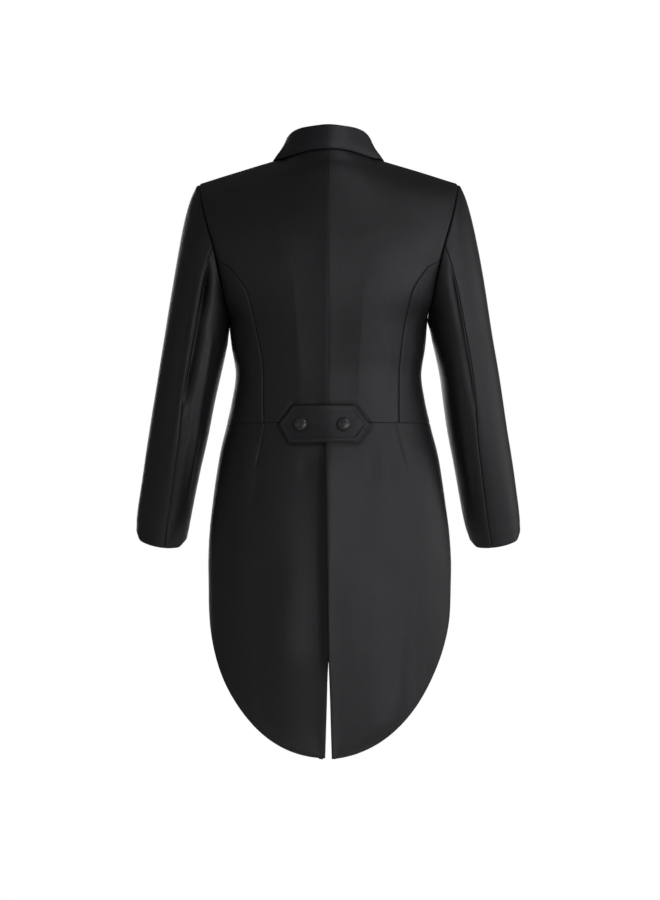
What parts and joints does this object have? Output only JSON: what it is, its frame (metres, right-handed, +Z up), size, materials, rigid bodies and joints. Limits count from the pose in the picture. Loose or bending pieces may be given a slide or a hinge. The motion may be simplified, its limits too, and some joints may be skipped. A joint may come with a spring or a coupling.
{
  "type": "white tie tailcoat",
  "caption": "Black evening tailcoat, filled out with no wearer: waist-length cutaway fronts, long rounded tails with a centre vent, and a buttoned half-belt.",
  "frame": {"origin": "middle of the neck opening, level with the neck points of the shoulder line, where the wearer's shoulders hold the coat up", "axes": "+Z up, -Y towards the wearer's front, +X towards the wearer's left"},
  "size_m": [0.6528, 0.2478, 1.0329],
  "materials": {
    "cloth": "fine black worsted twill with a soft sheen",
    "satin": "black cloth, a little smoother and glossier",
    "covered_buttons": "black, domed, glossy"
  },
  "bodies": {
    "root": {"back_left": "cloth", "back_right": "cloth", "side_back_left": "cloth", "side_back_right": "cloth", "front_left": "cloth", "front_right": "cloth", "tail_left": "cloth", "tail_right": "cloth", "lapel_left": "satin", "lapel_right": "satin", "top_sleeve_left": "cloth", "top_sleeve_right": "cloth", "under_sleeve_left": "cloth", "under_sleeve_right": "cloth", "collar": "satin", "half_belt": "cloth", "belt_button_left": "covered_buttons", "front_button_left_1": "covered_buttons", "front_button_left_2": "covered_buttons", "front_button_left_3": "covered_buttons", "belt_button_right": "covered_buttons", "front_button_right_1": "covered_buttons", "front_button_right_2": "covered_buttons", "front_button_right_3": "covered_buttons"}
  },
  "joints": []
}
